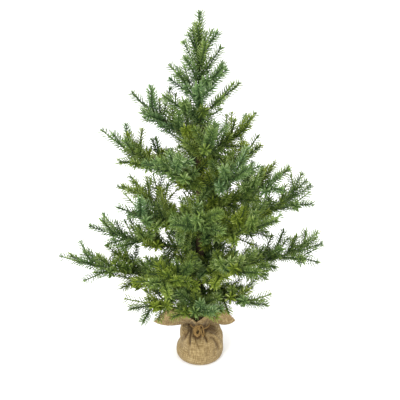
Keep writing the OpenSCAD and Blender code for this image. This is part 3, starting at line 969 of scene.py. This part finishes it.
def make_fringe(grid):
    """Loose threads along the collar's cut edge, longest at the ears."""
    rng = np.random.default_rng(21)
    builder = Builder()
    edge = grid[:, -1]
    outward = unit(grid[:, -1] - grid[:, -4])
    sideways = unit(np.roll(edge, -1, 0) - np.roll(edge, 1, 0))
    steps = np.linalg.norm(np.roll(edge, -1, 0) - edge, axis=1)
    reach = np.hypot(edge[:, 0], edge[:, 1])
    for i in range(len(edge)):
        for _ in range(int(steps[i] / (0.8 * MM)) + 1):
            if rng.uniform() < 0.3:
                continue
            length = rng.uniform(1.5, 5.0) * MM * (1.0 if reach[i] > 60 * MM else 0.6)
            along = sideways[i] * rng.uniform(0, 1) * steps[i]
            start = edge[i] + along - outward[i] * 1.5 * MM + rng.normal(0, 0.2 * MM, 3)
            way = unit(outward[i] + sideways[i] * rng.normal(0, 0.35) + rng.normal(0, 0.18, 3))
            droop = unit(rng.normal(0, 1, 3)) * length * rng.uniform(0.1, 0.4) - UP * 0.2 * length
            line = curved(start, way, length + 1.5 * MM, droop, 6)
            builder.add(*tube(line, np.linspace(0.42, 0.16, 6) * MM, 5))
    obj = builder.make("burlap_fringe", [FRAY])
    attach(obj, "base")
    return obj


TWINE_R = 1.5 * MM
TWINE_LAY = 9 * MM
NECK_TURN_R = 24.55 * MM
NECK_Z = 94 * MM
KNOT_CENTRE = np.array([-6.5, -35.5, 95.5])
KNOT_LEAN = math.radians(33)


def rope(builder, points, n):
    """Three-ply twine along a smooth line through points."""
    line = smooth_line(points, n)
    _, u, v = side_frames(line)
    run = np.concatenate([[0], np.cumsum(np.linalg.norm(np.diff(line, axis=0), axis=1))])
    for ply in range(3):
        turn = run / TWINE_LAY * 2 * math.pi + ply * 2 * math.pi / 3
        strand = line + (u * np.cos(turn)[:, None] + v * np.sin(turn)[:, None]) * TWINE_R * 0.5
        builder.add(*tube(strand, np.full(n, TWINE_R * 0.56), 7))


def oval(degrees, a, b):
    """The point at a turn of an oval with half axes a and b."""
    turn = math.radians(degrees)
    return a * math.cos(turn), b * math.sin(turn)


def make_twine():
    """Two turns round the neck, and a knot of coiled loops at the front that leans back a little."""
    builder = Builder()
    rope(builder, [(*oval(degrees, NECK_TURN_R, NECK_TURN_R), NECK_Z + z * MM)
                   for degrees, z in zip(np.linspace(-90, -90 + 720, 60), np.linspace(-1.6, 1.6, 60))], 520)
    across, up = np.array([1.0, 0, 0]), np.array([0, math.sin(KNOT_LEAN), math.cos(KNOT_LEAN)])
    out = np.array([0, -math.cos(KNOT_LEAN), math.sin(KNOT_LEAN)])

    def knot_part(points, n):
        """Twine through points given in mm across the knot, up it and out from it."""
        rope(builder, [(KNOT_CENTRE + across * a + up * b + out * c) * MM for a, b, c in points], n)

    coil = []
    for i in range(31):
        degrees, radius = 70 + 30 * i, 11.8 - 0.17 * i
        coil.append((*oval(degrees, 0.86 * radius, 1.14 * radius),
                     1.6 * math.sin(1.7 * math.radians(degrees)) + 0.1 * i))
    knot_part([(1, 9, -9), (3, 12, -4)] + coil, 560)
    inner = [oval(30 * i, 5.5, 7.5) for i in range(13)]
    knot_part([(a, b - 1.5, 2.2 + 0.25 * i) for i, (a, b) in enumerate(inner)]
              + [(4, -8, 3), (2, -10, -2)], 240)
    # The narrow loop at the right, and the short end
    knot_part([(2, 4, 0), (6, 12, 2), (9.5, 15, 2), (13, 10, 2), (15.5, 0, 1), (16.5, -9, 0), (14.5, -14, 1),
               (12, -9, 2), (9.5, 0, 2), (6, 5, 1), (1, 3, 0)], 300)
    knot_part([(0, 2, 1), (-4, -1, 3), (-5, -7, 3.5), (-2, -12, 1), (0, -15, -3)], 120)
    # The turns that bind the coil
    binding = [oval(40 * i, 3.2, 3.2) for i in range(19)]
    knot_part([(1 + a, 7 + 0.35 * i, c) for i, (a, c) in enumerate(binding)], 240)
    obj = builder.make("twine", [TWINE])
    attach(obj, "base")
    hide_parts("twine_tie")
    return obj


burlap, cloth_grid = make_burlap()
fringe = make_fringe(cloth_grid)
make_twine()


# -------------------- finishes of the CAD nodes that stay

BINDING_WIRE = steel_material("binding_wire", (0.020, 0.020, 0.012), (0.060, 0.056, 0.036), 0.6)
FINISHES = {
    "ballast_block": (cement_material(), "cement"),
    "base_pot": (pot_material(), "pot_plastic"),
    "trunk_pole": (steel_material("steel_tube", (0.36, 0.36, 0.37), (0.62, 0.62, 0.63), 0.35), "steel_tube"),
    "trunk_wrap": (bark_material(), "bark_wrap"),
    "branch_ties": (BINDING_WIRE, "binding_wire"),
    "leader_pin": (BINDING_WIRE, "binding_wire"),
}
film = wire_material()
for name, obj in frame["nodes"].items():
    if obj.hide_render:
        continue
    material, slot = FINISHES.get(name, (film, "green_wire"))
    obj.data.materials.clear()
    obj.data.materials.append(material)


# -------------------- stage, light and camera

def make_stage():
    material, _, _ = shader("pale_floor", Roughness=0.95, Specular_IOR_Level=0.1,
                            Base_Color=(0.93, 0.93, 0.93, 1))
    half = 40.0
    floor = mesh_object("floor", [(-half, -half, 0), (half, -half, 0), (half, half, 0), (-half, half, 0)],
                        [(0, 1, 2, 3)], [], [material])


def area_light(name, place, target, size, power):
    data = bpy.data.lights.new(name, "AREA")
    data.shape, data.size, data.energy = "DISK", size, power
    obj = bpy.data.objects.new(name, data)
    obj.location = place
    obj.rotation_euler = (Vector(target) - Vector(place)).to_track_quat("-Z", "Y").to_euler()
    bpy.context.scene.collection.objects.link(obj)


make_stage()
area_light("key", (-1.5, -2.8, 2.0), (0, 0, 0.4), 2.0, 105)
area_light("fill", (2.2, -1.8, 1.6), (0, 0, 0.4), 2.2, 26)
area_light("top", (0.2, 1.0, 3.0), (0, 0, 0.5), 2.2, 40)
world = bpy.data.worlds.new("studio")
world.use_nodes = True
background = world.node_tree.nodes["Background"]
background.inputs["Color"].default_value = (1, 1, 1, 1)
background.inputs["Strength"].default_value = 1.25
bpy.context.scene.world = world
bpy.context.scene.view_settings.view_transform = "Standard"

LOOK_DOWN = 27
camera = bpy.data.objects.new("camera", bpy.data.cameras.new("camera"))
bpy.context.scene.collection.objects.link(camera)
camera.location = (0.0, -1.782, 1.358)
camera.rotation_euler = (math.radians(90 - LOOK_DOWN), 0, 0)
camera.data.sensor_width = 36
camera.data.lens = 75.6
camera.data.clip_end = 200
bpy.context.scene.camera = camera
